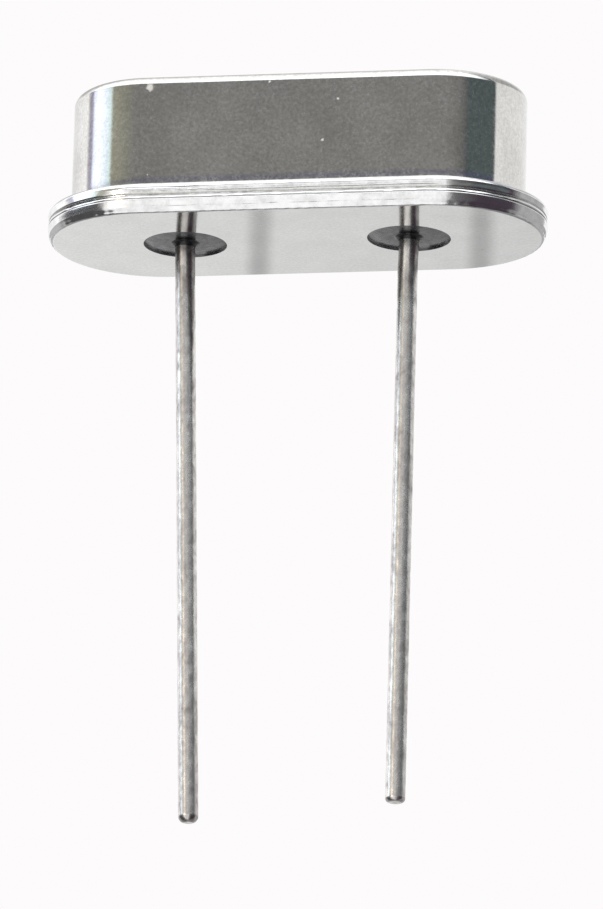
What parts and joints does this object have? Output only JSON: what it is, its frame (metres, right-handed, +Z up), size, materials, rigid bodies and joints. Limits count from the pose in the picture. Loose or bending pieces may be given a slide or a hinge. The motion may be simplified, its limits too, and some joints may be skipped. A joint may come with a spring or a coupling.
{
  "type": "quartz crystal",
  "caption": "Low-profile quartz crystal resonator in a welded obround metal can, with through-hole leads on a straight row, held by its soldered leads.",
  "frame": {"origin": "middle of the base's flat underside, which is the seating plane, halfway between the two leads", "axes": "+X along the row of leads and the can's length, +Y across the can, +Z up through the can; the leads hang along -Z"},
  "size_m": [0.0108, 0.0046, 0.0161],
  "materials": {
    "can_steel": "bright nickel-plated drawn sheet, smooth with a fine grain",
    "base_steel": "satin nickel-plated stamping",
    "seal_glass": "dark fused sealing glass, glossy",
    "tinned_lead": "hot-tinned iron-nickel wire, dull silver and mottled",
    "clip_nickel": "plain nickel ribbon",
    "quartz": "lapped quartz, slightly frosted",
    "silver_film": "evaporated silver",
    "silver_paste": "cured silver-filled adhesive, matt"
  },
  "bodies": {
    "root": {"can": "can_steel", "base": "base_steel", "glass_seal_left": "seal_glass", "glass_seal_right": "seal_glass", "lead_left": "tinned_lead", "lead_right": "tinned_lead", "clip_left": "clip_nickel", "clip_right": "clip_nickel", "quartz_strip": "quartz", "electrode_upper": "silver_film", "electrode_lower": "silver_film", "adhesive_left_upper": "silver_paste", "adhesive_left_lower": "silver_paste", "adhesive_right_upper": "silver_paste", "adhesive_right_lower": "silver_paste"}
  },
  "joints": []
}
